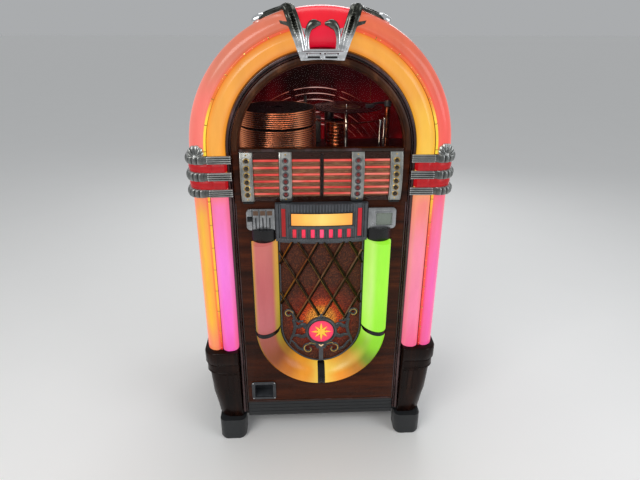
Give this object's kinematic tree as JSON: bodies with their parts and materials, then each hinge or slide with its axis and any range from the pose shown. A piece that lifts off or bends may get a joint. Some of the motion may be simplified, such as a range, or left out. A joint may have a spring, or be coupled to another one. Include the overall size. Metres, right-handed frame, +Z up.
{
  "type": "jukebox",
  "caption": "Free-standing arched jukebox with lit plastic pilasters, selector buttons, opening doors, a swinging record tray and a rising turntable.",
  "frame": {"origin": "on the floor, under the middle of the cabinet's box", "axes": "+Z up, -Y out of the front, +X to the viewer's right when facing the front"},
  "size_m": [0.838, 0.635, 1.524],
  "materials": {
    "walnut": "dark reddish walnut veneer, lacquered",
    "dark_wood": "dark stained wood, lacquered",
    "steel": "painted pressed steel",
    "amber_plastic": "translucent amber plastic lit from behind",
    "coral_plastic": "translucent coral plastic lit from behind",
    "red_plastic": "translucent red plastic lit from behind",
    "pink_plastic": "translucent dusty pink plastic lit from behind",
    "green_plastic": "translucent yellow-green plastic lit from behind",
    "tube_glass": "liquid-filled glass tube lit from below",
    "window_glass": "clear flat glass",
    "nickel": "ribbed die casting, dark nickel plate",
    "dark_casting": "die casting, dark oxidised finish",
    "silver_casting": "satin die casting",
    "chrome": "bright chrome plate",
    "copper": "copper-coloured plated steel",
    "black_paper": "treated paper cone and black steel basket",
    "black_plastic": "black moulded plastic",
    "title_card": "printed card strips behind a clear cover",
    "grille_cloth": "woven speckled grille cloth",
    "vinyl": "grooved black record on a felt-covered platter",
    "button_plastic": "dark moulded button with a metal rim"
  },
  "bodies": {
    "cabinet": {"cabinet_shell": "walnut", "base_frame": "dark_wood", "mechanism_frame": "steel", "inner_plastic_left": "amber_plastic", "inner_plastic_right": "amber_plastic", "outer_plastic_left": "coral_plastic", "outer_plastic_right": "coral_plastic", "bubble_tube_left": "tube_glass", "bubble_tube_right": "tube_glass", "band_casting_left": "nickel", "band_casting_right": "nickel", "crown_casting": "nickel", "crown_plastic": "red_plastic", "tray_stack": "copper", "amplifier": "steel", "speaker": "black_paper"},
    "front_door": {"door_panel": "walnut", "window_glass": "window_glass", "title_panel": "title_card", "selector_bars": "silver_casting", "coin_plate": "nickel", "card_plate": "nickel", "louvre_casting": "dark_casting", "grille_plastic_left": "pink_plastic", "grille_plastic_right": "green_plastic", "grille_lattice": "dark_casting", "grille_screen": "grille_cloth", "coin_cup": "dark_casting", "crown_clasp": "chrome"},
    "rear_door": {"rear_door": "dark_wood"},
    "door_lock": {"door_lock": "chrome"},
    "coin_return_lever": {"coin_return_lever": "black_plastic"},
    "selected_tray": {"selected_tray": "copper"},
    "lift_shaft": {"lift_shaft": "chrome"},
    "turntable": {"turntable": "vinyl"},
    "tone_arm": {"tone_arm": "black_plastic"},
    "selector_button_01": {"selector_button_01": "button_plastic"},
    "selector_button_02": {"selector_button_02": "button_plastic"},
    "selector_button_03": {"selector_button_03": "button_plastic"},
    "selector_button_04": {"selector_button_04": "button_plastic"},
    "selector_button_05": {"selector_button_05": "button_plastic"},
    "selector_button_06": {"selector_button_06": "button_plastic"},
    "selector_button_07": {"selector_button_07": "button_plastic"},
    "selector_button_08": {"selector_button_08": "button_plastic"},
    "selector_button_09": {"selector_button_09": "button_plastic"},
    "selector_button_10": {"selector_button_10": "button_plastic"},
    "selector_button_11": {"selector_button_11": "button_plastic"},
    "selector_button_12": {"selector_button_12": "button_plastic"},
    "selector_button_13": {"selector_button_13": "button_plastic"},
    "selector_button_14": {"selector_button_14": "button_plastic"},
    "selector_button_15": {"selector_button_15": "button_plastic"},
    "selector_button_16": {"selector_button_16": "button_plastic"},
    "selector_button_17": {"selector_button_17": "button_plastic"},
    "selector_button_18": {"selector_button_18": "button_plastic"},
    "selector_button_19": {"selector_button_19": "button_plastic"},
    "selector_button_20": {"selector_button_20": "button_plastic"},
    "selector_button_21": {"selector_button_21": "button_plastic"},
    "selector_button_22": {"selector_button_22": "button_plastic"},
    "selector_button_23": {"selector_button_23": "button_plastic"},
    "selector_button_24": {"selector_button_24": "button_plastic"}
  },
  "joints": [
    {"name": "front_door_hinge", "type": "hinge", "parent": "cabinet", "child": "front_door", "pos_m": [-0.2731, -0.272, 0.75], "axis": [0, 0, -1], "range_deg": [0, 90]},
    {"name": "rear_door_hinge", "type": "hinge", "parent": "cabinet", "child": "rear_door", "pos_m": [0.398, 0.2978, 0.75], "axis": [0, 0, -1], "range_deg": [0, 110]},
    {"name": "door_lock_turn", "type": "hinge", "parent": "rear_door", "child": "door_lock", "pos_m": [-0.35, 0.3155, 0.75], "axis": [0, 1, 0], "range_deg": [0, 90]},
    {"name": "coin_return_press", "type": "slide", "parent": "front_door", "child": "coin_return_lever", "axis": [0, 1, 0], "range_m": [0, 0.006], "stiffness_N_per_m": 200},
    {"name": "tray_swing", "type": "hinge", "parent": "cabinet", "child": "selected_tray", "pos_m": [-0.0425, 0.0656, 1.152], "axis": [0, 0, 1], "range_deg": [-131, 0]},
    {"name": "turntable_lift", "type": "slide", "parent": "cabinet", "child": "lift_shaft", "axis": [0, 0, 1], "range_m": [-0.031, 0]},
    {"name": "turntable_spin", "type": "hinge", "parent": "lift_shaft", "child": "turntable", "pos_m": [0.105, 0.065, 1.18], "axis": [0, 0, 1], "continuous": true},
    {"name": "tone_arm_swing", "type": "hinge", "parent": "cabinet", "child": "tone_arm", "pos_m": [0.245, 0.02, 1.206], "axis": [0, 0, 1], "range_deg": [-25, 20]},
    {"name": "selector_press_01", "type": "slide", "parent": "front_door", "child": "selector_button_01", "axis": [0, 1, 0], "range_m": [0, 0.004], "stiffness_N_per_m": 200},
    {"name": "selector_press_02", "type": "slide", "parent": "front_door", "child": "selector_button_02", "axis": [0, 1, 0], "range_m": [0, 0.004], "stiffness_N_per_m": 200},
    {"name": "selector_press_03", "type": "slide", "parent": "front_door", "child": "selector_button_03", "axis": [0, 1, 0], "range_m": [0, 0.004], "stiffness_N_per_m": 200},
    {"name": "selector_press_04", "type": "slide", "parent": "front_door", "child": "selector_button_04", "axis": [0, 1, 0], "range_m": [0, 0.004], "stiffness_N_per_m": 200},
    {"name": "selector_press_05", "type": "slide", "parent": "front_door", "child": "selector_button_05", "axis": [0, 1, 0], "range_m": [0, 0.004], "stiffness_N_per_m": 200},
    {"name": "selector_press_06", "type": "slide", "parent": "front_door", "child": "selector_button_06", "axis": [0, 1, 0], "range_m": [0, 0.004], "stiffness_N_per_m": 200},
    {"name": "selector_press_07", "type": "slide", "parent": "front_door", "child": "selector_button_07", "axis": [0, 1, 0], "range_m": [0, 0.004], "stiffness_N_per_m": 200},
    {"name": "selector_press_08", "type": "slide", "parent": "front_door", "child": "selector_button_08", "axis": [0, 1, 0], "range_m": [0, 0.004], "stiffness_N_per_m": 200},
    {"name": "selector_press_09", "type": "slide", "parent": "front_door", "child": "selector_button_09", "axis": [0, 1, 0], "range_m": [0, 0.004], "stiffness_N_per_m": 200},
    {"name": "selector_press_10", "type": "slide", "parent": "front_door", "child": "selector_button_10", "axis": [0, 1, 0], "range_m": [0, 0.004], "stiffness_N_per_m": 200},
    {"name": "selector_press_11", "type": "slide", "parent": "front_door", "child": "selector_button_11", "axis": [0, 1, 0], "range_m": [0, 0.004], "stiffness_N_per_m": 200},
    {"name": "selector_press_12", "type": "slide", "parent": "front_door", "child": "selector_button_12", "axis": [0, 1, 0], "range_m": [0, 0.004], "stiffness_N_per_m": 200},
    {"name": "selector_press_13", "type": "slide", "parent": "front_door", "child": "selector_button_13", "axis": [0, 1, 0], "range_m": [0, 0.004], "stiffness_N_per_m": 200},
    {"name": "selector_press_14", "type": "slide", "parent": "front_door", "child": "selector_button_14", "axis": [0, 1, 0], "range_m": [0, 0.004], "stiffness_N_per_m": 200},
    {"name": "selector_press_15", "type": "slide", "parent": "front_door", "child": "selector_button_15", "axis": [0, 1, 0], "range_m": [0, 0.004], "stiffness_N_per_m": 200},
    {"name": "selector_press_16", "type": "slide", "parent": "front_door", "child": "selector_button_16", "axis": [0, 1, 0], "range_m": [0, 0.004], "stiffness_N_per_m": 200},
    {"name": "selector_press_17", "type": "slide", "parent": "front_door", "child": "selector_button_17", "axis": [0, 1, 0], "range_m": [0, 0.004], "stiffness_N_per_m": 200},
    {"name": "selector_press_18", "type": "slide", "parent": "front_door", "child": "selector_button_18", "axis": [0, 1, 0], "range_m": [0, 0.004], "stiffness_N_per_m": 200},
    {"name": "selector_press_19", "type": "slide", "parent": "front_door", "child": "selector_button_19", "axis": [0, 1, 0], "range_m": [0, 0.004], "stiffness_N_per_m": 200},
    {"name": "selector_press_20", "type": "slide", "parent": "front_door", "child": "selector_button_20", "axis": [0, 1, 0], "range_m": [0, 0.004], "stiffness_N_per_m": 200},
    {"name": "selector_press_21", "type": "slide", "parent": "front_door", "child": "selector_button_21", "axis": [0, 1, 0], "range_m": [0, 0.004], "stiffness_N_per_m": 200},
    {"name": "selector_press_22", "type": "slide", "parent": "front_door", "child": "selector_button_22", "axis": [0, 1, 0], "range_m": [0, 0.004], "stiffness_N_per_m": 200},
    {"name": "selector_press_23", "type": "slide", "parent": "front_door", "child": "selector_button_23", "axis": [0, 1, 0], "range_m": [0, 0.004], "stiffness_N_per_m": 200},
    {"name": "selector_press_24", "type": "slide", "parent": "front_door", "child": "selector_button_24", "axis": [0, 1, 0], "range_m": [0, 0.004], "stiffness_N_per_m": 200}
  ]
}
